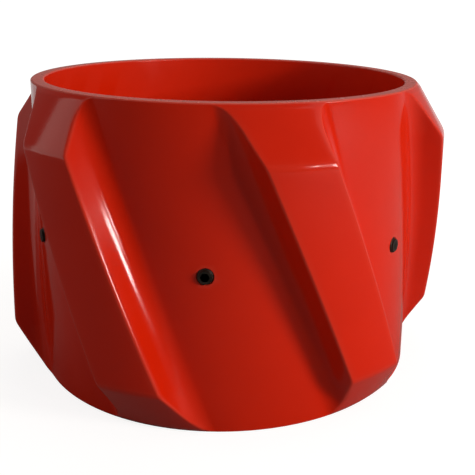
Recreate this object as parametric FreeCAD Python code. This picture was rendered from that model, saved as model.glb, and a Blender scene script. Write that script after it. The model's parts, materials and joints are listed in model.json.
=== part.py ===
import FreeCAD, Part
import math
import os

# Rigid casing centralizer: one casting, a tube with slanting vanes, and the set
# screws that lock it on the casing. Lengths are in millimetres, angles in degrees.
# The origin is on the bore's axis at the lower end, and +Z runs up the axis.

# Tube
casing_diameter = 244.475  # outside of the well casing that the bore slides over
casing_gap = 1.5875  # all round, between the casing and the bore
wall = 8.7  # tube wall under the channels
length = 200.0  # end face to end face
edge_break = 0.8  # bevel on the inner and outer edges of both end faces

# Vanes
vane_count = 6
vane_height = 19.875  # from the channel floor to the crest
crest_width = 42.0  # straight across a crest, square to the axis
helix_angle = 23.2  # between a vane and the axis, measured on the crest
flank_angle = 11.0  # between a flank and the radial line
root_radius = 15.0  # hollow fillet from a flank to the channel floor
crest_bevel = 1.2  # along a flank and along the crest, at the crest's long edges
taper_length = 32.0  # each end of a vane, measured along the axis
rim_step = 2.0  # how far a vane still stands out where it reaches the rim
twist_step = 18.0  # greatest height between two of the outlines that carry the twist

# Set screws, one in each channel at half height
screw_diameter = 10.0
screw_stand_out = 1.5  # outer end beyond the channel floor
screw_tip_gap = 0.2  # point short of the bore while the screw is backed off
thread_clearance = 0.05  # all round, between a screw and its hole
screw_offset = 4.6  # along the channel floor, from the middle of the channel
socket_width = 5.0  # across the flats
socket_depth = 3.6
socket_sides = 6
end_bevel = 0.9  # at a screw's outer end

# Worked out from the sizes above
bore_radius = casing_diameter / 2 + casing_gap
tube_radius = bore_radius + wall
crest_radius = tube_radius + vane_height
vane_pitch_angle = 360.0 / vane_count
twist_per_mm = math.degrees(math.tan(math.radians(helix_angle)) / crest_radius)
screw_radius = screw_diameter / 2
screw_length = wall + screw_stand_out - screw_tip_gap
screw_offset_angle = math.degrees(screw_offset / tube_radius)

# A blank or a cutter runs this far past the faces that it meets
overrun = 2.0

axis_up = FreeCAD.Vector(0, 0, 1)
axis_point = FreeCAD.Vector(0, 0, 0)
front_angle = -90.0  # the first screw looks along -Y


def plan_point(radius, angle):
    """A point in the plan at a radius and an angle from the X axis."""
    turn = math.radians(angle)
    return FreeCAD.Vector(radius * math.cos(turn), radius * math.sin(turn), 0)


def turned(point, angle):
    """The point turned about the bore's axis."""
    return FreeCAD.Rotation(axis_up, angle).multVec(point)


def mirrored(point):
    """The point's twin on the other flank of a vane that lies along X."""
    return FreeCAD.Vector(point.x, -point.y, point.z)


def arc(start, middle, end):
    return Part.Arc(start, middle, end).toShape()


def line(start, end):
    return Part.LineSegment(start, end).toShape()


def flank_points():
    """Cap, bevel foot, flank foot, fillet middle and fillet end of a vane along X."""
    slope = math.radians(flank_angle)
    half_width = crest_width / 2
    corner = FreeCAD.Vector(math.sqrt(crest_radius ** 2 - half_width ** 2), half_width, 0)
    inward = FreeCAD.Vector(-math.cos(slope), math.sin(slope), 0)
    sideways = FreeCAD.Vector(math.sin(slope), math.cos(slope), 0)
    # The fillet's centre keeps its distance from the flank and from the channel floor
    path_start = corner + sideways * root_radius
    along = path_start.dot(inward)
    reach = tube_radius + root_radius
    travel = -along - math.sqrt(along ** 2 - path_start.dot(path_start) + reach ** 2)
    centre = path_start + inward * travel
    foot = corner + inward * travel
    floor = centre * (tube_radius / reach)
    bisector = (foot - centre) + (floor - centre)
    middle = centre + bisector.normalize() * root_radius
    # The bevel's line runs on to the cap, and the crest's cylinder cuts it later
    bevel_foot = corner + inward * crest_bevel
    along_crest = FreeCAD.Vector(corner.y, -corner.x, 0).normalize()
    rise = (corner + along_crest * crest_bevel - bevel_foot).normalize()
    cap = bevel_foot + rise * ((crest_radius + overrun - bevel_foot.x) / rise.x)
    return cap, bevel_foot, foot, middle, floor


def plan_outline():
    """Channel floors, fillets, flanks, bevels and caps of all vanes, as one wire."""
    cap, bevel_foot, foot, middle, floor = flank_points()
    edges = []
    for vane in range(vane_count):
        angle = vane * vane_pitch_angle
        edges.append(arc(*[turned(mirrored(p), angle) for p in (floor, middle, foot)]))
        flank_and_cap = [mirrored(foot), mirrored(bevel_foot), mirrored(cap), cap, bevel_foot, foot]
        for start, end in zip(flank_and_cap, flank_and_cap[1:]):
            edges.append(line(turned(start, angle), turned(end, angle)))
        edges.append(arc(*[turned(p, angle) for p in (foot, middle, floor)]))
        channel_middle = plan_point(tube_radius, angle + vane_pitch_angle / 2)
        next_floor = turned(mirrored(floor), angle + vane_pitch_angle)
        edges.append(arc(turned(floor, angle), channel_middle, next_floor))
    return Part.Wire(edges)


def twisted_blank():
    """The plan outline carried up the axis while it turns like a left-hand screw."""
    blank_length = length + 2 * overrun
    steps = math.ceil(blank_length / twist_step)
    # At half height each vane lies midway between two channels, clear of the screws
    middle_angle = front_angle + vane_pitch_angle / 2 + screw_offset_angle
    outlines = []
    for step in range(steps + 1):
        height = blank_length * step / steps - overrun
        outline = plan_outline()
        outline.rotate(axis_point, axis_up, middle_angle - twist_per_mm * (height - length / 2))
        outline.translate(axis_up * height)
        outlines.append(outline)
    return Part.makeLoft(outlines, True, True)


def turned_solid(points):
    """The solid that a closed outline in the XZ plane sweeps about the Z axis."""
    corners = [FreeCAD.Vector(radius, 0, height) for radius, height in points]
    face = Part.Face(Part.makePolygon(corners + corners[:1]))
    return face.revolve(axis_point, axis_up, 360)


def turned_envelope():
    """Bore, end faces, bevels, vane tapers and crests, as a lathe would leave them."""
    rim_radius = tube_radius + rim_step
    bevel_height = edge_break + rim_step
    lower_half = [
        (bore_radius, edge_break),
        (bore_radius + edge_break, 0),
        (tube_radius - edge_break, 0),
        (rim_radius, bevel_height),
        (crest_radius, taper_length),
    ]
    upper_half = [(radius, length - height) for radius, height in reversed(lower_half)]
    return turned_solid(lower_half + upper_half)


def set_screw():
    """A screw along Z with its point at the bottom and its hexagon socket on top."""
    profile = [
        (0, 0),
        (screw_radius, 0),
        (screw_radius, screw_length - end_bevel),
        (screw_radius - end_bevel, screw_length),
        (0, screw_length),
    ]
    corner_radius = socket_width / 2 / math.cos(math.pi / socket_sides)
    corners = [plan_point(corner_radius, 360.0 * side / socket_sides) for side in range(socket_sides)]
    hexagon = Part.Face(Part.makePolygon(corners + corners[:1]))
    hexagon.translate(axis_up * screw_length)
    return turned_solid(profile).cut(hexagon.extrude(axis_up * -socket_depth))


def screw_hole():
    """The cutter for one screw hole, along Z from inside the bore to past the floor."""
    hole = Part.makeCylinder(screw_radius + thread_clearance, wall + 2 * overrun)
    hole.translate(axis_up * -overrun)
    return hole


def in_channel(shape, seat_radius, number):
    """The shape laid from the Z axis onto a channel's radial line at half height."""
    placed = shape.copy()
    placed.rotate(axis_point, FreeCAD.Vector(0, 1, 0), 90)
    placed.translate(FreeCAD.Vector(seat_radius, 0, length / 2))
    placed.rotate(axis_point, axis_up, front_angle + number * vane_pitch_angle)
    return placed


def vaned_body():
    """The casting: twisted blank inside the turned envelope, with its screw holes."""
    body = twisted_blank().common(turned_envelope())
    hole = screw_hole()
    holes = [in_channel(hole, bore_radius, number) for number in range(vane_count)]
    return body.cut(holes)


def save(shape, name):
    """One STEP file to each piece."""
    print(name, "volume", round(shape.Volume), "solids", len(shape.Solids), "valid", shape.isValid())
    shape.exportStep(os.path.join("parts", name + ".step"))


os.makedirs("parts", exist_ok=True)
save(vaned_body(), "vaned_body")
for number in range(vane_count):
    screw = in_channel(set_screw(), bore_radius + screw_tip_gap, number)
    save(screw, "set_screw_" + str(number + 1))
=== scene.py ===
import json
import math

import bmesh
import bpy
from mathutils import Matrix, Vector


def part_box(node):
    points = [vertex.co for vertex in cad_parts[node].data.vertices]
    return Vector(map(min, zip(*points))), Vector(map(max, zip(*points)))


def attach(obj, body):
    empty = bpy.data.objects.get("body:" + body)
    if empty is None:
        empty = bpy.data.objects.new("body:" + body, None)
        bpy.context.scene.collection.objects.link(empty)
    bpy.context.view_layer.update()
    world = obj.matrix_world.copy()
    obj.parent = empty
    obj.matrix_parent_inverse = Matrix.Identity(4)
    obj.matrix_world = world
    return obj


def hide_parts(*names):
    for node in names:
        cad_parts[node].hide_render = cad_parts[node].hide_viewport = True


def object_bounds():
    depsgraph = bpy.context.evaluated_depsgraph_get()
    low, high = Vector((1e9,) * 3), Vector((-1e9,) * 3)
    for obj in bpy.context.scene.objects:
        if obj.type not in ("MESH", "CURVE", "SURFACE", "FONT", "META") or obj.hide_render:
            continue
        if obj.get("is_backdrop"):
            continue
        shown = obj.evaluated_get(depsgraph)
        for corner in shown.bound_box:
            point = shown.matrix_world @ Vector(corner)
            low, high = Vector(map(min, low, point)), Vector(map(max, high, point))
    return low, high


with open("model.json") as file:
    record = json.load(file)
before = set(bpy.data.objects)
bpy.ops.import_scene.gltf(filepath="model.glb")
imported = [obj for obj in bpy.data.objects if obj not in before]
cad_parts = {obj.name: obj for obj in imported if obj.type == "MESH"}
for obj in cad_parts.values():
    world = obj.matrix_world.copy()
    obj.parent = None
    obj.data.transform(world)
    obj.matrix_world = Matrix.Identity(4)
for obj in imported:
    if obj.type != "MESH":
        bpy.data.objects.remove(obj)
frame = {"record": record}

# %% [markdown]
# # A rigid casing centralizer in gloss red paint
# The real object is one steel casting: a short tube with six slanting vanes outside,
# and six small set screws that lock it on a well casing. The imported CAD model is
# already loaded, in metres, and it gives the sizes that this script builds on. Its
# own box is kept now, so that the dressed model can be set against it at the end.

cad_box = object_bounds()
MM = 0.001
body_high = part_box("vaned_body")[1]
mounts = {mount["name"]: mount for mount in frame["record"]["mounts"]}
LENGTH = body_high.z
CREST_RADIUS = body_high.x
BORE_RADIUS = mounts["casing_bore"]["dims"]["r_mm"] * MM
print("length", round(LENGTH, 4), "m, crest radius", round(CREST_RADIUS, 4), "m")
print("bore radius", round(BORE_RADIUS, 5), "m")

# %% [markdown]
# The casting's other sizes are the construction's own: the wall, the hollow at a
# vane's root, the slope of its flanks and how much it turns. They are written once
# here, in millimetres on the real part, so that a change to the part is one line.

# %% Sizes of the casting
VANES = 6
WALL = 8.7 * MM
ROOT_HOLLOW = 15.0 * MM
CREST_HALF_WIDTH = 21.0 * MM
FLANK_SLOPE = math.radians(11.0)
HELIX_ANGLE = math.radians(23.2)
TAPER = 32.0 * MM
RIM_STEP = 2.0 * MM
END_BEVEL = 0.8 * MM
SCREW_OFFSET = 4.6 * MM

TUBE_RADIUS = BORE_RADIUS + WALL
TWIST = math.tan(HELIX_ANGLE) / CREST_RADIUS
HALF_PITCH = math.pi / VANES
MID_HEIGHT = LENGTH / 2
FRONT = -math.pi / 2
FIRST_VANE = FRONT + HALF_PITCH + SCREW_OFFSET / TUBE_RADIUS
print("tube radius", round(TUBE_RADIUS, 5), "m")
print("twist over the length", round(math.degrees(TWIST * LENGTH), 2), "degrees")

# %% [markdown]
# ## The camera
# The camera was found by matching the rim's, the bore's and the base's ellipses and
# the vanes' edges of the photograph. It stands half a metre away, a little above the
# rim, and looks down at about 15 degrees. The small shift is the photograph's own
# framing: its middle isn't where the lens pointed.

# %% Camera
CAMERA_DISTANCE = 548.7 * MM
CAMERA_HEIGHT = 262.8 * MM
CAMERA_TURN = math.radians(5.18)
CAMERA_YAW = math.radians(-3.173)
CAMERA_PITCH = math.radians(-14.587)
CAMERA_ROLL = math.radians(0.96)
FOCAL_PIXELS = 775.3
IMAGE_PIXELS = 475
OPTICAL_CENTRE = (267.9, 185.5)

camera_data = bpy.data.cameras.new("camera")
camera_data.lens = FOCAL_PIXELS * camera_data.sensor_width / IMAGE_PIXELS
camera_data.shift_x = (IMAGE_PIXELS / 2 - OPTICAL_CENTRE[0]) / IMAGE_PIXELS
camera_data.shift_y = (OPTICAL_CENTRE[1] - IMAGE_PIXELS / 2) / IMAGE_PIXELS
camera = bpy.data.objects.new("camera", camera_data)
bpy.context.scene.collection.objects.link(camera)
bpy.context.scene.camera = camera
stand = (
    Matrix.Rotation(CAMERA_TURN, 4, "Z")
    @ Matrix.Translation((0, -CAMERA_DISTANCE, CAMERA_HEIGHT))
)
yaw = Matrix.Rotation(CAMERA_YAW, 4, "Z")
level_and_pitch = Matrix.Rotation(math.pi / 2 + CAMERA_PITCH, 4, "X")
roll = Matrix.Rotation(CAMERA_ROLL, 4, "Z")
camera.matrix_world = stand @ yaw @ level_and_pitch @ roll
camera_place = camera.matrix_world.translation
print("lens", round(camera_data.lens, 2), "mm")
print("camera at", [round(c, 3) for c in camera_place], "m")

# %% [markdown]
# ## From a bmesh to an object
# Each piece is made in a bmesh and becomes an object at the origin, with its place
# in its mesh. Faces are shaded smooth, and only edges sharper than a set angle stay
# crisp, because gloss paint shows every facet.

# %% Finished objects
SHARP_EDGE = math.radians(40)


def finished_object(mesh_maker, name, material, sharp=SHARP_EDGE):
    """Turns a bmesh into a smooth-shaded object at the origin."""
    bmesh.ops.recalc_face_normals(mesh_maker, faces=mesh_maker.faces)
    for face in mesh_maker.faces:
        face.smooth = True
    for edge in mesh_maker.edges:
        edge.smooth = len(edge.link_faces) == 2 and edge.calc_face_angle() < sharp
    mesh = bpy.data.meshes.new(name)
    mesh_maker.to_mesh(mesh)
    mesh_maker.free()
    mesh.materials.append(material)
    thing = bpy.data.objects.new(name, mesh)
    bpy.context.scene.collection.objects.link(thing)
    print(name, "faces", len(mesh.polygons))
    return thing


print("smooth below", round(math.degrees(SHARP_EDGE)), "degrees")

# %% [markdown]
# ## Spin and extrude
# Two operators shape nearly everything here. Spin turns a profile right round the
# axis, as on a lathe, and its seam is merged so that the shell closes. Extrude
# repeats a ring of edges, and the new ring is then moved to its place.

# %% Spinning and extruding
ROUND_STEPS = 64
MERGE_DISTANCE = 0.001 * MM


def spin_profile(mesh_maker, points):
    """Turns a chain of (radius, height) points right round the Z axis."""
    verts = [mesh_maker.verts.new((radius, 0, height)) for radius, height in points]
    edges = [mesh_maker.edges.new(pair) for pair in zip(verts, verts[1:])]
    bmesh.ops.spin(
        mesh_maker, geom=verts + edges, cent=(0, 0, 0), axis=(0, 0, 1),
        angle=math.tau, steps=ROUND_STEPS, use_merge=True, use_duplicate=False,
    )
    bmesh.ops.remove_doubles(mesh_maker, verts=mesh_maker.verts, dist=MERGE_DISTANCE)


def extruded(mesh_maker, edges):
    """Extrudes edges in place, and gives the new vertices and the new edges."""
    made = bmesh.ops.extrude_edge_only(mesh_maker, edges=edges)["geom"]
    new_verts = [g for g in made if isinstance(g, bmesh.types.BMVert)]
    new_edges = [g for g in made if isinstance(g, bmesh.types.BMEdge)]
    return new_verts, new_edges


def open_edges(mesh_maker):
    return [edge for edge in mesh_maker.edges if len(edge.link_faces) == 1]


print("spun in", ROUND_STEPS, "steps")

# %% [markdown]
# ## The flank of a vane
# A cut square to the axis shows one vane as a crest, two sloping flanks and two
# hollow fillets that run out on the tube. Only the curve from the channel floor up
# to the crest's corner is needed, because the rest is arcs about the axis. The
# hollow's centre keeps its distance from the flank and from the floor, so it is
# worked out, not guessed.

# %% Flank curve of one vane, in a plan with the vane along X
corner = Vector((
    math.sqrt(CREST_RADIUS ** 2 - CREST_HALF_WIDTH ** 2),
    CREST_HALF_WIDTH,
))
inward = Vector((-math.cos(FLANK_SLOPE), math.sin(FLANK_SLOPE)))
sideways = Vector((math.sin(FLANK_SLOPE), math.cos(FLANK_SLOPE)))
path_start = corner + sideways * ROOT_HOLLOW
reach = TUBE_RADIUS + ROOT_HOLLOW
along = path_start.dot(inward)
travel = -along - math.sqrt(along ** 2 - path_start.dot(path_start) + reach ** 2)
hollow_centre = path_start + inward * travel
hollow_start = hollow_centre * (TUBE_RADIUS / reach)
hollow_end = corner + inward * travel
HOLLOW_TURN = (hollow_start - hollow_centre).angle(hollow_end - hollow_centre)
HOLLOW_LENGTH = ROOT_HOLLOW * HOLLOW_TURN
FLANK_LENGTH = HOLLOW_LENGTH + travel
FLOOR_END = math.atan2(hollow_start.y, hollow_start.x)
HALVINGS = 40


def flank_point(distance):
    """The point at a distance along the curve from the channel floor to the corner."""
    if distance <= HOLLOW_LENGTH:
        arm = hollow_start - hollow_centre
        arm.rotate(Matrix.Rotation(distance / ROOT_HOLLOW, 2))
        return hollow_centre + arm
    return hollow_end - inward * (distance - HOLLOW_LENGTH)


def flank_distance(radius):
    """How far along the curve a circle about the axis cuts it, by halving."""
    low, high = 0.0, FLANK_LENGTH
    for _ in range(HALVINGS):
        middle = (low + high) / 2
        if flank_point(middle).length < radius:
            low = middle
        else:
            high = middle
    return low


print("hollow turns", round(math.degrees(HOLLOW_TURN), 1), "degrees")
print("flank curve", round(FLANK_LENGTH / MM, 1), "mm")

# %% [markdown]
# ## Columns of the casting's skin
# The skin is a tube of rings and columns. Every ring has the same columns: some on
# the channel floor, some up the flank, a few round the crest's edge and some on the
# crest. At the tapers the crest comes lower, so the same columns slide down along
# the flank. That keeps a row of faces on each edge of the real casting.

# %% Columns of a ring
FLOOR_COLUMNS = 9
FLANK_COLUMNS = 15
EDGE_COLUMNS = 6
CREST_COLUMNS = 6
HALF_COLUMNS = FLOOR_COLUMNS + FLANK_COLUMNS + EDGE_COLUMNS + CREST_COLUMNS
COLUMNS = 2 * VANES * HALF_COLUMNS
print("columns", COLUMNS)

# %% [markdown]
# ## The section of a ring
# The crest's corner is cut off by a smooth curve, which lies partly on the flank and
# partly on the crest. One edge of each taper was ground softer towards the rim: the
# right one at the top, and so the left one at the bottom, because the part is the
# same when it is turned end for end.

# %% Where a column of a ring lies
CREST_ROUNDING = 1.6 * MM
RIM_ROUNDING = 5.5 * MM


def blend_corner(start, tip, end, share):
    """A point on the smooth curve that cuts a corner off."""
    return start.lerp(tip, share).lerp(tip.lerp(end, share), share)


def polar(radius, angle):
    return Vector((radius * math.cos(angle), radius * math.sin(angle)))


def ring_section(cap, ground_edge):
    """A cut from a channel's middle to a crest's middle, with the crest at cap."""
    floor = min(TUBE_RADIUS, cap)
    points = []
    for column in range(FLOOR_COLUMNS):
        share = column / FLOOR_COLUMNS
        points.append(polar(floor, HALF_PITCH + (FLOOR_END - HALF_PITCH) * share))
    if cap <= TUBE_RADIUS:
        before = tip = after = polar(cap, FLOOR_END)
        rounding = climb = 0.0
    else:
        climb = flank_distance(cap)
        rounding = min(CREST_ROUNDING, climb / 2)
        crest_to_rim = CREST_RADIUS - TUBE_RADIUS - RIM_STEP
        down = min(1.0, (CREST_RADIUS - cap) / crest_to_rim)
        ground = CREST_ROUNDING + (RIM_ROUNDING - CREST_ROUNDING) * down * ground_edge
        tip = flank_point(climb)
        before = flank_point(climb - rounding)
        after = polar(cap, math.atan2(tip.y, tip.x) - ground / cap)
    for column in range(FLANK_COLUMNS):
        share = column / FLANK_COLUMNS
        points.append(flank_point((climb - rounding) * share) if climb else tip)
    for column in range(EDGE_COLUMNS):
        points.append(blend_corner(before, tip, after, column / EDGE_COLUMNS))
    crest_angle = math.atan2(after.y, after.x)
    for column in range(CREST_COLUMNS + 1):
        points.append(polar(cap, crest_angle * (1 - column / CREST_COLUMNS)))
    return points


crest_section = ring_section(CREST_RADIUS, False)
print("half a vane at full height takes", len(crest_section), "points")

# %% [markdown]
# ## Rounded outlines
# A turned shape is told by the corners of its outline. Each corner is rounded as the
# paint and the casting leave it, and the long stretches between them are split so
# that the twist of the vanes stays smooth.

# %% Points along an outline
CORNER_STEPS = 5


def rounded_chain(corners):
    """Points along a closed outline of (radius, height, rounding, spacing after it)."""
    chain = []
    followers = corners[1:] + corners[:1]
    for number, (radius, height, rounding, spacing) in enumerate(corners):
        here = Vector((radius, height))
        last = Vector(corners[number - 1][:2])
        following = Vector(followers[number][:2])
        next_rounding = followers[number][2]
        start = here + (last - here).normalized() * rounding
        end = here + (following - here).normalized() * rounding
        for part in range(CORNER_STEPS + 1):
            chain.append(blend_corner(start, here, end, part / CORNER_STEPS))
        stretch = (following - here).length - rounding - next_rounding
        pieces = max(1, round(stretch / spacing))
        for part in range(1, pieces):
            onward = (following - here).normalized() * stretch * part / pieces
            chain.append(end + onward)
    return chain


print("a corner takes", CORNER_STEPS + 1, "points")

# %% [markdown]
# ## Rings of the casting's skin
# Seen in a cut along the axis, the wall is a closed outline: up the outside over the
# lower taper, the crest and the upper taper, across the end face, down the bore and
# back. Every point of it becomes one ring of the skin. The rings lie closer on the
# rim's bevel, because it is small and catches the light, and far apart in the bore,
# which is straight.

# %% Outline of the wall, lengthwise
EDGE_ROUND = 0.5 * MM
RIM_ROUND = 1.2 * MM
TAPER_ROUND = 2.8 * MM
OUTER_SPACING = 3.0 * MM
BEVEL_SPACING = OUTER_SPACING / 8
BORE_SPACING = 22.0 * MM
RIM_RADIUS = TUBE_RADIUS + RIM_STEP
RIM_HEIGHT = END_BEVEL + RIM_STEP

lower_half = [
    (BORE_RADIUS, END_BEVEL, EDGE_ROUND, BORE_SPACING),
    (BORE_RADIUS + END_BEVEL, 0.0, EDGE_ROUND / 2, OUTER_SPACING),
    (TUBE_RADIUS - END_BEVEL, 0.0, EDGE_ROUND, BEVEL_SPACING),
    (RIM_RADIUS, RIM_HEIGHT, RIM_ROUND, OUTER_SPACING),
    (CREST_RADIUS, TAPER, TAPER_ROUND, OUTER_SPACING),
]
upper_half = [
    (CREST_RADIUS, LENGTH - TAPER, TAPER_ROUND, OUTER_SPACING),
    (RIM_RADIUS, LENGTH - RIM_HEIGHT, RIM_ROUND, BEVEL_SPACING),
    (TUBE_RADIUS - END_BEVEL, LENGTH, EDGE_ROUND, OUTER_SPACING),
    (BORE_RADIUS + END_BEVEL, LENGTH, EDGE_ROUND / 2, OUTER_SPACING),
    (BORE_RADIUS, LENGTH - END_BEVEL, EDGE_ROUND, BORE_SPACING),
]
wall_chain = rounded_chain(lower_half + upper_half)
print("rings", len(wall_chain))

# %% [markdown]
# ## The casting
# A circle is extruded once for each ring, and the last ring is bridged to the first,
# so the skin is closed from the start. Then each vertex goes to its place: out to the
# section of its ring, and round by the twist at its height. Moving the vertices of a
# plain tube is quicker to follow than a boolean of seven solids, and it puts clean
# rows of faces along every edge.

# %% Tube of rings and columns, then its shape
SKIN_MERGE = 0.01 * MM


def plain_tube():
    """A closed tube with one ring of vertices for each point of the wall's outline."""
    tube = bmesh.new()
    circle = bmesh.ops.create_circle(tube, cap_ends=False, segments=COLUMNS, radius=1.0)
    rings = [circle["verts"]]
    edges = list(tube.edges)
    for _ in wall_chain[1:]:
        ring, edges = extruded(tube, edges)
        rings.append(ring)
    bmesh.ops.bridge_loops(tube, edges=open_edges(tube))
    return tube, rings


def shape_ring(ring, radius, height):
    """Moves a plain ring to its section of the casting, turned by the twist."""
    upper = height > MID_HEIGHT
    sections = [ring_section(radius, mirrored != upper) for mirrored in (False, True)]
    turn = FIRST_VANE - TWIST * (height - MID_HEIGHT)
    for vert in ring:
        around = math.atan2(vert.co.y, vert.co.x) / math.tau
        vane, step = divmod(round(around * COLUMNS) % COLUMNS, 2 * HALF_COLUMNS)
        mirrored = step > HALF_COLUMNS
        side = sections[mirrored][abs(step - HALF_COLUMNS)].copy()
        if radius <= TUBE_RADIUS - END_BEVEL:
            side = side.normalized() * radius
        if mirrored:
            side.y = -side.y
        side = Matrix.Rotation(turn + (vane + mirrored) * 2 * HALF_PITCH, 2) @ side
        vert.co = (side.x, side.y, height)


skin, rings = plain_tube()
for ring, (radius, height) in zip(rings, wall_chain):
    shape_ring(ring, radius, height)
bmesh.ops.remove_doubles(skin, verts=skin.verts, dist=SKIN_MERGE)
print("skin faces", len(skin.faces), "open edges", len(open_edges(skin)))

# %% [markdown]
# ## Helpers for nodes
# A shader is easier to read when it is written as a sum is: each helper places one
# node, feeds it, and gives its result. A socket takes either a link or a plain value.

# %% Node helpers
def give(tree, slot, value):
    """Links a socket to the slot, or writes a plain value in it."""
    if isinstance(value, bpy.types.NodeSocket):
        tree.links.new(value, slot)
    else:
        slot.default_value = value


def feed(tree, node, **sockets):
    """Gives several sockets of a node their values. In a name, _ stands for a space."""
    for label, value in sockets.items():
        give(tree, node.inputs[label.replace("_", " ")], value)
    return node


def placed(tree, kind, **sockets):
    """A new node of a kind, fed."""
    return feed(tree, tree.nodes.new("ShaderNode" + kind), **sockets)


print("nodes are placed and fed by name")

# %% [markdown]
# ## Ramps, sums and mixes
# A few kinds of node return again and again. A ramp turns a number into another one
# between two limits, a sum works two numbers out, a reach says how far a point lies in
# some direction, and a mix goes from one colour to another where a mask says so.

# %% Ramps, sums and mixes
COLOUR_A, COLOUR_B, COLOUR_RESULT = 6, 7, 2  # where a Mix node keeps its colours


def ramped(tree, value, start=0.0, end=1.0, low=0.0, high=1.0):
    """The low number up to the start, the high one from the end, and between a ramp."""
    return placed(
        tree, "MapRange",
        Value=value, From_Min=start, From_Max=end, To_Min=low, To_Max=high,
    ).outputs["Result"]


def worked_out(tree, operation, first, second):
    """A sum, product or the like of two sockets or numbers."""
    node = placed(tree, "Math")
    node.operation = operation
    for slot, value in zip(node.inputs, (first, second)):
        give(tree, slot, value)
    return node.outputs[0]


def across(tree, vector, direction):
    """How far a vector reaches along a direction."""
    node = placed(tree, "VectorMath")
    node.operation = "DOT_PRODUCT"
    for slot, value in zip(node.inputs, (vector, direction)):
        give(tree, slot, value)
    return node.outputs["Value"]


def mixed_colour(tree, mask, low, high):
    """The low colour where the mask is 0 and the high one where it is 1."""
    mix = tree.nodes.new("ShaderNodeMix")
    mix.data_type = "RGBA"
    feed(tree, mix, Factor=mask)
    give(tree, mix.inputs[COLOUR_A], low)
    give(tree, mix.inputs[COLOUR_B], high)
    return mix.outputs[COLOUR_RESULT]


def bumped(tree, height, distance):
    bump = placed(tree, "Bump", Height=height, Distance=distance, Strength=1.0)
    return bump.outputs["Normal"]


print("Mix node's colours at", COLOUR_A, COLOUR_B, "and", COLOUR_RESULT)

# %% [markdown]
# ## A group of nodes
# An effect that more than one material uses is built once, as a group with named
# numbers going in. Both groups here start from a noise that is read in the piece's own
# coordinates, so that the pattern stays on the piece when it moves.

# %% Group helpers
def node_group(name, output, **inputs):
    """An empty group with numbers going in, and one number coming out."""
    group = bpy.data.node_groups.new(name, "ShaderNodeTree")
    for label, value in inputs.items():
        socket = group.interface.new_socket(
            name=label.replace("_", " "), in_out="INPUT", socket_type="NodeSocketFloat"
        )
        socket.default_value = value
    group.interface.new_socket(
        name=output, in_out="OUTPUT", socket_type="NodeSocketFloat"
    )
    given = group.nodes.new("NodeGroupInput").outputs
    result = group.nodes.new("NodeGroupOutput").inputs[output]
    return group, given, result


def noise_on_piece(tree, scale, detail):
    """Noise on Object coordinates, so that it stays with the piece."""
    place = placed(tree, "TexCoord").outputs["Object"]
    noise = placed(tree, "TexNoise", Vector=place, Scale=scale, Detail=detail)
    return noise.outputs["Fac"]


print("groups take numbers and give one back")

# %% [markdown]
# ## Waves and unevenness
# The two effects are the soft waviness of a cast or machined surface, and the slight
# unevenness of a colour or a gloss. They put out only a height and a mask. The shaders
# stay in the materials.

# %% Shader groups
WAVE_DETAIL = 1.0
MASK_DETAIL = 4.0


def surface_waves():
    """Height of a surface: long waves from the casting and fine ones from the paint."""
    group, given, result = node_group(
        "surface_waves", "Height", Long_scale=20.0, Fine_scale=900.0, Fine_share=0.1
    )
    mix = placed(
        group, "Mix",
        Factor=given["Fine share"],
        A=noise_on_piece(group, given["Long scale"], WAVE_DETAIL),
        B=noise_on_piece(group, given["Fine scale"], WAVE_DETAIL),
    )
    group.links.new(mix.outputs["Result"], result)
    return group


def uneven_mask():
    """A soft mask from 0 to 1 that changes over the surface."""
    group, given, result = node_group(
        "uneven_mask", "Mask", Scale=12.0, Low=0.35, High=0.65
    )
    noise = noise_on_piece(group, given["Scale"], MASK_DETAIL)
    group.links.new(ramped(group, noise, given["Low"], given["High"]), result)
    return group


WAVES = surface_waves()
UNEVEN = uneven_mask()
print("groups", [group.name for group in bpy.data.node_groups])

# %% [markdown]
# ## Materials
# A new material comes with one Principled BSDF, and no finish here needs another
# shader. A group is placed in it with its own values, so the same unevenness is broad
# on the casting and fine on a screw.

# %% Material helpers
def new_material(name):
    material = bpy.data.materials.new(name)
    material.use_nodes = True
    return material, material.node_tree, material.node_tree.nodes["Principled BSDF"]


def placed_group(tree, group, **sockets):
    node = tree.nodes.new("ShaderNodeGroup")
    node.node_tree = group
    return feed(tree, node, **sockets).outputs[0]


print("each material starts from its Principled BSDF")

# %% [markdown]
# ## Gloss red paint
# The paint is a deep gloss red. Its colour drifts a little, its gloss is less even
# where it was handled, and long shallow waves of the casting bend its reflections.
# On the outward edges the paint is thin and rubbed, so it is paler and duller there.
# That paler pink is partly wear and partly a painted highlight along the rim.
# Where those edges are is kept on the mesh as an attribute, because a noise alone
# can't know it. The index of refraction is below that of most paints: at the usual
# 1.5 the sides that face away would turn milky, and in the photograph they are deep.

# %% Paint
DEEP_RED = (0.57, 0.0125, 0.001, 1)
BRIGHT_RED = (0.63, 0.015, 0.0015, 1)
# Pale pink of thin, rubbed paint, which on the rim also stands in as a painted highlight.
PALE_WEAR_AND_HIGHLIGHT_RED = (0.64, 0.11, 0.075, 1)


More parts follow.
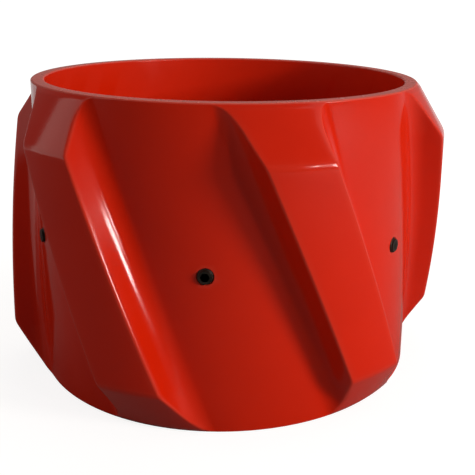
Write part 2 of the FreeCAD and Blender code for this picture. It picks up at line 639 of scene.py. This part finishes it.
def red_paint():
    material, tree, shader = new_material("red_paint")
    drift = placed_group(tree, UNEVEN, Scale=9.0)
    handled = placed_group(tree, UNEVEN, Scale=38.0)
    rubbed = placed_group(tree, UNEVEN, Scale=160.0, Low=0.3, High=0.7)
    waves = placed_group(
        tree, WAVES, Long_scale=16.0, Fine_scale=700.0, Fine_share=0.015
    )
    edge = tree.nodes.new("ShaderNodeAttribute")
    edge.attribute_name = "edge"
    rubbing = ramped(tree, rubbed, low=0.54, high=0.66)
    # Where the paint is paler: real wear, and on the rim also a painted highlight.
    wear_and_highlight = worked_out(tree, "MULTIPLY", edge.outputs["Fac"], rubbing)
    red = mixed_colour(tree, drift, DEEP_RED, BRIGHT_RED)
    gloss = ramped(tree, handled, low=0.1, high=0.15)
    dulled = ramped(tree, wear_and_highlight, low=0.0, high=0.35)
    feed(
        tree, shader,
        Base_Color=mixed_colour(tree, wear_and_highlight, red, PALE_WEAR_AND_HIGHLIGHT_RED),
        Roughness=worked_out(tree, "ADD", gloss, dulled),
        Normal=bumped(tree, waves, distance=0.6 * MM),
        IOR=1.31,
    )
    return material


RED = red_paint()
print(RED.name, "nodes", len(RED.node_tree.nodes))

# %% [markdown]
# ## Black oxide
# Set screws are blackened, not painted: a thin oxide on the steel, dull and slightly
# brown, which wears through to grey in small spots. So it is dark, a little metallic
# and rougher than the paint.

# %% Screw finish
OXIDE_BLACK = (0.009, 0.007, 0.005, 1)
OXIDE_BROWN = (0.026, 0.018, 0.013, 1)


def black_oxide():
    material, tree, shader = new_material("black_oxide")
    worn = placed_group(tree, UNEVEN, Scale=420.0)
    waves = placed_group(
        tree, WAVES, Long_scale=300.0, Fine_scale=2500.0, Fine_share=0.4
    )
    feed(
        tree, shader,
        Base_Color=mixed_colour(tree, worn, OXIDE_BLACK, OXIDE_BROWN),
        Roughness=ramped(tree, worn, low=0.34, high=0.5),
        Normal=bumped(tree, waves, distance=0.05 * MM),
        Metallic=0.3,
        Specular_IOR_Level=0.3,
    )
    return material


BLACK = black_oxide()
print(BLACK.name, "nodes", len(BLACK.node_tree.nodes))

# %% [markdown]
# ## From the Z axis to a channel
# The holes and the screws are round, so they are easiest to make upright on the Z
# axis. Each is then laid level, at half height, on the line of its own hole, one
# sixth of a turn from the next. Parts made one by one are joined in a single mesh.

# %% Laying and joining
def laid_in_channel(mesh_maker, number, seat):
    """Lays what stands on the Z axis onto the line of one screw, point inwards."""
    lay = (
        Matrix.Rotation(FRONT + number * 2 * HALF_PITCH, 4, "Z")
        @ Matrix.Translation((seat, 0, MID_HEIGHT))
        @ Matrix.Rotation(math.pi / 2, 4, "Y")
    )
    bmesh.ops.transform(mesh_maker, verts=mesh_maker.verts, matrix=lay)


def joined(parts):
    """One bmesh from several."""
    whole = bmesh.new()
    for part in parts:
        carrier = bpy.data.meshes.new("carrier")
        part.to_mesh(carrier)
        part.free()
        whole.from_mesh(carrier)
        bpy.data.meshes.remove(carrier)
    return whole


print("lines of screws", round(math.degrees(2 * HALF_PITCH)), "degrees apart")

# %% [markdown]
# ## Cutters for the screw holes
# The six holes were drilled and tapped after casting, so here they are cut after the
# skin is shaped. A cutter is a turned profile with a bevel for the hole's mouth, and
# it runs past the wall on both sides, so that nothing is left standing.

# %% Hole cutters
SCREW_RADIUS = 5.0 * MM
HOLE_RADIUS = 5.05 * MM
HOLE_BEVEL = 0.5 * MM
CUTTER_OVERRUN = 3.0 * MM


def hole_cutter(number):
    cutter = bmesh.new()
    spin_profile(cutter, [
        (0, -CUTTER_OVERRUN),
        (HOLE_RADIUS, -CUTTER_OVERRUN),
        (HOLE_RADIUS, WALL - HOLE_BEVEL),
        (HOLE_RADIUS + HOLE_BEVEL, WALL),
        (HOLE_RADIUS + HOLE_BEVEL, WALL + CUTTER_OVERRUN),
        (0, WALL + CUTTER_OVERRUN),
    ])
    bmesh.ops.recalc_face_normals(cutter, faces=cutter.faces)
    laid_in_channel(cutter, number, BORE_RADIUS)
    return cutter


print("holes", VANES, "of", round(2 * HOLE_RADIUS / MM, 1), "mm")

# %% [markdown]
# ## The drilled casting
# One boolean takes all six cutters out of the wall. Its result is kept and the
# modifier isn't, so the cutters can go. The exact solver is slower than the fast one,
# but it leaves no torn faces where a hole meets the rows of the skin.

# %% Skin with its holes
def drilled_skin():
    """The skin with the six holes cut, as a bmesh."""
    casting = finished_object(skin, "casting_skin", RED)
    cutters = [hole_cutter(number) for number in range(VANES)]
    cutter = finished_object(joined(cutters), "hole_cutters", RED)
    cut = casting.modifiers.new("screw holes", "BOOLEAN")
    cut.operation = "DIFFERENCE"
    cut.solver = "EXACT"
    cut.object = cutter
    evaluated = casting.evaluated_get(bpy.context.evaluated_depsgraph_get())
    drilled = bmesh.new()
    drilled.from_mesh(bpy.data.meshes.new_from_object(evaluated))
    bpy.data.objects.remove(casting)
    bpy.data.objects.remove(cutter)
    bmesh.ops.remove_doubles(drilled, verts=drilled.verts, dist=MERGE_DISTANCE)
    bmesh.ops.recalc_face_normals(drilled, faces=drilled.faces)
    return drilled


drilled = drilled_skin()
print("drilled faces", len(drilled.faces), "open edges", len(open_edges(drilled)))

# %% [markdown]
# ## Thin paint and a painted highlight on the edges
# Each vertex keeps how thin its paint is: an edge that bends outwards by the full
# bend is as thin as paint gets. The end faces were stood on and slid over casing, so
# they are worn all over, and the vanes' edges less. On the rim that strong pale mark
# is also a painted highlight. The result is the finished casting, which takes the
# place of the imported one.

# %% Painted casting with its worn edges and painted rim highlight
FULL_BEND = math.radians(14)
END_WEAR_AND_HIGHLIGHT = 0.7
CREST_WEAR = 0.3


def mark_edges(mesh_maker):
    """Keeps on each vertex how thin its paint is, which also places the painted rim
    highlight.
    """
    edge_layer = mesh_maker.verts.layers.float.new("edge")
    for vert in mesh_maker.verts:
        edges = [edge for edge in vert.link_edges if len(edge.link_faces) == 2]
        bends = [edge.calc_face_angle_signed() for edge in edges]
        bend = min(1.0, max([0.0] + bends) / FULL_BEND)
        from_end = MID_HEIGHT - abs(vert.co.z - MID_HEIGHT)
        on_end = from_end < END_BEVEL
        # On the end faces the mark is partly wear and partly a painted highlight.
        vert[edge_layer] = max(bend, END_WEAR_AND_HIGHLIGHT) if on_end else bend * CREST_WEAR


mark_edges(drilled)
casting = finished_object(drilled, "painted_casting", RED)
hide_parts("vaned_body")
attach(casting, "casting")

# %% [markdown]
# ## Set screws: the stud
# A set screw is a short threaded stud with a hexagon socket in its outer end and a
# cup point that bites into the casing. The stud is a spun profile, its outer end is
# left open and bridged to a hexagon, and the hexagon is extruded down for the socket
# and narrowed to the point of the drill that started it.

# %% Stud with its socket
SCREW_STAND_OUT = 1.5 * MM
TIP_GAP = 0.2 * MM
SCREW_LENGTH = WALL + SCREW_STAND_OUT - TIP_GAP
CORE_RADIUS = SCREW_RADIUS - 0.6 * MM
END_CHAMFER = 0.9 * MM
END_TAPER = 0.3 * MM
CUP_RADIUS = 2.6 * MM
CUP_LIP = 0.6 * MM
POINT_HEIGHT = 1.0 * MM
SOCKET_SIDES = 6
SOCKET_RADIUS = 2.5 * MM / math.cos(math.pi / SOCKET_SIDES)
SOCKET_DEPTH = 3.6 * MM
DRILL_POINT = 1.4 * MM
DRILL_TIP_SHARE = 0.02


def screw_stud():
    stud = bmesh.new()
    spin_profile(stud, [
        (0, CUP_RADIUS / 2),
        (CUP_RADIUS, 0),
        (CUP_RADIUS + CUP_LIP, 0),
        (CORE_RADIUS, POINT_HEIGHT),
        (CORE_RADIUS, SCREW_LENGTH - END_CHAMFER),
        (CORE_RADIUS - END_TAPER, SCREW_LENGTH),
    ])
    rim = open_edges(stud)
    hexagon = bmesh.ops.create_circle(
        stud, cap_ends=False, segments=SOCKET_SIDES, radius=SOCKET_RADIUS,
        matrix=Matrix.Translation((0, 0, SCREW_LENGTH)),
    )["verts"]
    socket = list({edge for vert in hexagon for edge in vert.link_edges})
    bmesh.ops.bridge_loops(stud, edges=rim + socket)
    for depth, scale in ((SOCKET_DEPTH, 1.0), (DRILL_POINT, DRILL_TIP_SHARE)):
        low, socket = extruded(stud, socket)
        bmesh.ops.translate(stud, verts=low, vec=(0, 0, -depth))
        bmesh.ops.scale(stud, verts=low, vec=(scale, scale, 1))
    bmesh.ops.holes_fill(stud, edges=socket)
    return stud


print("screw length", round(SCREW_LENGTH / MM, 1), "mm")

# %% [markdown]
# ## Set screws: the thread
# The thread is a small triangle spun up a helix round the stud. Its root lies a
# little inside the core, so that no gap shows, and its crest stays inside the hole.

# %% Thread
THREAD_PITCH = 1.5 * MM
THREAD_WIDTH = 1.44 * MM
THREAD_START = 0.72 * MM
THREAD_ROOT = CORE_RADIUS - 0.1 * MM
THREAD_CREST = SCREW_RADIUS - 0.1 * MM
THREAD_TURNS = int((SCREW_LENGTH - 2 * END_CHAMFER) / THREAD_PITCH)


def screw_thread():
    thread = bmesh.new()
    verts = [thread.verts.new((radius, 0, height)) for radius, height in (
        (THREAD_ROOT, THREAD_START),
        (THREAD_CREST, THREAD_START + THREAD_PITCH / 2),
        (THREAD_ROOT, THREAD_START + THREAD_WIDTH),
    )]
    face = thread.faces.new(verts)
    steps = THREAD_TURNS * ROUND_STEPS
    bmesh.ops.spin(
        thread, geom=[face] + verts + list(face.edges), cent=(0, 0, 0), axis=(0, 0, 1),
        angle=math.tau * THREAD_TURNS, steps=steps,
        dvec=(0, 0, THREAD_PITCH * THREAD_TURNS / steps),
    )
    return thread


print("thread turns", THREAD_TURNS)

# %% [markdown]
# ## Six screws in place
# All six screws are the same and only their places differ. Each rides on the moving
# body of its own screw, so it turns up in the right place when the screw is driven in.

# %% Screws in their holes
SCREW_SHARP_EDGE = math.radians(30)

for number in range(VANES):
    name = "set_screw_" + str(number + 1)
    screw = joined([screw_stud(), screw_thread()])
    laid_in_channel(screw, number, BORE_RADIUS + TIP_GAP)
    piece_name = "socket_screw_" + str(number + 1)
    piece = finished_object(screw, piece_name, BLACK, SCREW_SHARP_EDGE)
    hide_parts(name)
    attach(piece, "screw_" + str(number + 1))

# %% [markdown]
# ## The white background
# The photograph has a plain white background. Lighting a floor until it is white
# would wash the paint out, so the floor and the world are dim and only look white to
# the camera. Gloss paint would give that trick away, because it mirrors what lies
# behind it, so there its reflections see the white too, more weakly.

# %% Who sees the background
MIRRORED_SHARE = 0.6
AWAY = Vector((-math.sin(CAMERA_TURN), math.cos(CAMERA_TURN), 0))
TO_RIGHT = Vector((math.cos(CAMERA_TURN), math.sin(CAMERA_TURN), 0))
UP = Vector((0, 0, 1))


def shows_background(tree, behind):
    """1 for what the camera sees, and behind the part also for its reflections."""
    rays = placed(tree, "LightPath").outputs
    mirrored = worked_out(
        tree, "MAXIMUM", rays["Is Glossy Ray"], rays["Is Transmission Ray"]
    )
    mirrored_behind = worked_out(tree, "MULTIPLY", mirrored, behind)
    return worked_out(tree, "MAXIMUM", rays["Is Camera Ray"], mirrored_behind)


print("away from the camera is", [round(c, 3) for c in AWAY])

# %% [markdown]
# ## Floor finish
# The floor's own grey is low, because gloss paint mirrors a bright floor as a milky
# veil. It is paler on the right, where the photograph's part gets more light from
# below. What the camera sees of it glows: a little less near the part, where the
# shadow lies, and more far away, where the lamps are weak. From below it is
# see-through, so that the lower end can be looked at.

# %% Floor finish
FLOOR_GREY = (0.27, 0.27, 0.27, 1)
FLOOR_PALE = (0.5, 0.5, 0.5, 1)


def floor_tone(tree, place):
    """A faint unevenness, and a paler grey to the right."""
    uneven = ramped(tree, placed_group(tree, UNEVEN, Scale=1.5), high=0.1)
    to_right = across(tree, place, TO_RIGHT)
    rightwards = ramped(tree, to_right, start=0.15, end=0.5, high=0.9)
    tone = worked_out(tree, "ADD", uneven, rightwards)
    return mixed_colour(tree, tone, FLOOR_GREY, FLOOR_PALE)


def floor_glow(tree, place):
    """How strongly the floor glows at a distance from the part."""
    from_part = placed(tree, "VectorMath", Vector=place)
    from_part.operation = "LENGTH"
    distance = from_part.outputs["Value"]
    return ramped(tree, distance, start=0.2, end=0.7, low=0.86, high=0.97)


def floor_finish():
    material, tree, shader = new_material("pale_floor")
    place = placed(tree, "TexCoord").outputs["Object"]
    away = across(tree, place, AWAY)
    behind = ramped(tree, away, start=0.4, end=1.2, high=MIRRORED_SHARE)
    from_below = placed(tree, "NewGeometry").outputs["Backfacing"]
    feed(
        tree, shader,
        Base_Color=floor_tone(tree, place),
        Emission_Color=shows_background(tree, behind),
        Emission_Strength=floor_glow(tree, place),
        Alpha=worked_out(tree, "SUBTRACT", 1.0, from_below),
        Roughness=0.9,
        Specular_IOR_Level=0.0,
    )
    return material


PALE_FLOOR = floor_finish()
print(PALE_FLOOR.name, "nodes", len(PALE_FLOOR.node_tree.nodes))

# %% [markdown]
# ## Floor
# The floor is a wide disc just under the part, so that the two don't share a plane.
# It is part of the stage and not of the object, and it is wide enough for its edge to
# stay out of every view.

# %% Floor
FLOOR_RADIUS = 20.0
FLOOR_GAP = 0.05 * MM
FLOOR_SIDES = 96

disc = bmesh.new()
bmesh.ops.create_circle(disc, cap_ends=True, segments=FLOOR_SIDES, radius=FLOOR_RADIUS)
bmesh.ops.translate(disc, verts=disc.verts, vec=(0, 0, -FLOOR_GAP))
floor = finished_object(disc, "floor", PALE_FLOOR)
floor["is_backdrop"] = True

# %% [markdown]
# ## Panel lamps
# Studio light comes from soft panels, and here each is an area lamp that is placed by
# where it stands around the part, as on a real set. Its level says how bright it makes
# white that faces it. An area lamp's light falls off with the square of the distance,
# so the energy follows from the level, and moving a lamp doesn't change the exposure.

# %% Lamp helper
LAMP_WHITE = (1.0, 0.95, 0.88)


def panel_light(name, azimuth, elevation, distance, width, height, level):
    """An area lamp facing the part, azimuth degrees to the right of the camera."""
    data = bpy.data.lights.new(name, "AREA")
    data.shape = "RECTANGLE"
    data.size, data.size_y = width, height
    data.energy = level * (math.pi * distance) ** 2
    data.color = LAMP_WHITE
    lamp = bpy.data.objects.new(name, data)
    bpy.context.scene.collection.objects.link(lamp)
    around = math.radians(azimuth) + CAMERA_TURN
    rise = math.radians(elevation)
    away = Vector((
        math.sin(around) * math.cos(rise),
        -math.cos(around) * math.cos(rise),
        math.sin(rise),
    ))
    lamp.location = UP * MID_HEIGHT + away * distance
    lamp.rotation_euler = (-away).to_track_quat("-Z", "Y").to_euler()
    print(name, "at", [round(c, 2) for c in lamp.location], "m, level", level)


print("lamp colour", LAMP_WHITE)

# %% [markdown]
# ## Lamps
# The main light is a small panel low on the right, a little in front of the part: in
# the photograph the flanks that face right are bright, the front vane throws a shadow
# to its left, and the streak down the left vane is short. A smaller second panel
# beside it widens the highlights. Weak wide panels stand higher on the right, for the
# end ring and the bore, and on the left and behind, because those sides are dark but
# not black.

# %% Lamps around the part
panel_light(
    "key_panel", azimuth=58, elevation=15, distance=1.5,
    width=0.3, height=0.24, level=0.66,
)
panel_light(
    "second_panel", azimuth=42, elevation=17, distance=1.5,
    width=0.12, height=0.12, level=0.12,
)
panel_light(
    "upper_panel", azimuth=85, elevation=45, distance=1.6,
    width=1.0, height=1.0, level=0.1,
)
panel_light(
    "left_panel", azimuth=-85, elevation=20, distance=1.6,
    width=1.2, height=1.2, level=0.22,
)
panel_light(
    "back_panel", azimuth=180, elevation=50, distance=1.8,
    width=1.5, height=1.2, level=0.25,
)

# %% [markdown]
# ## World
# The world is dim, which keeps the gloss deep, and a little brighter to the right,
# behind and above. The camera sees it as white, and so in part do mirrored rays that
# leave the part backwards and low, because that is where the white background is.

# %% World
ROOM_LEVEL = 0.17
ROOM_BRIGHTER_TOWARDS = TO_RIGHT * 0.08 + AWAY * 0.07 + UP * 0.03
ROOM_WHITE = (1.0, 0.96, 0.9, 1)
BACKDROP_WHITE = (1, 1, 1, 1)

world = bpy.data.worlds.new("studio")
bpy.context.scene.world = world
world.use_nodes = True
tree = world.node_tree
looking = placed(tree, "TexCoord").outputs["Generated"]
brighter = across(tree, looking, ROOM_BRIGHTER_TOWARDS)
away = across(tree, looking, AWAY)
far_side = ramped(tree, away, start=0.84, end=0.96, high=MIRRORED_SHARE)
low_down = ramped(tree, across(tree, looking, UP), start=0.07, end=0.02)
behind = worked_out(tree, "MULTIPLY", far_side, low_down)
backdrop = feed(tree, tree.nodes["Background"], Color=BACKDROP_WHITE)
room = placed(
    tree, "Background",
    Color=ROOM_WHITE, Strength=worked_out(tree, "ADD", brighter, ROOM_LEVEL),
)
choice = placed(tree, "MixShader", Fac=shows_background(tree, behind))
tree.links.new(room.outputs[0], choice.inputs[1])
tree.links.new(backdrop.outputs[0], choice.inputs[2])
tree.links.new(choice.outputs[0], tree.nodes["World Output"].inputs["Surface"])
bpy.context.scene.view_settings.view_transform = "Standard"
print("world nodes", len(tree.nodes))

# %% [markdown]
# ## The two boxes
# The dressed model should fill the same box as the construction, so how far the
# corners of the two boxes lie apart is printed.

# %% Boxes
visual_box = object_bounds()
grown = [round((a - b).length / MM, 3) for a, b in zip(cad_box, visual_box)]
print("box grows by", grown, "mm")
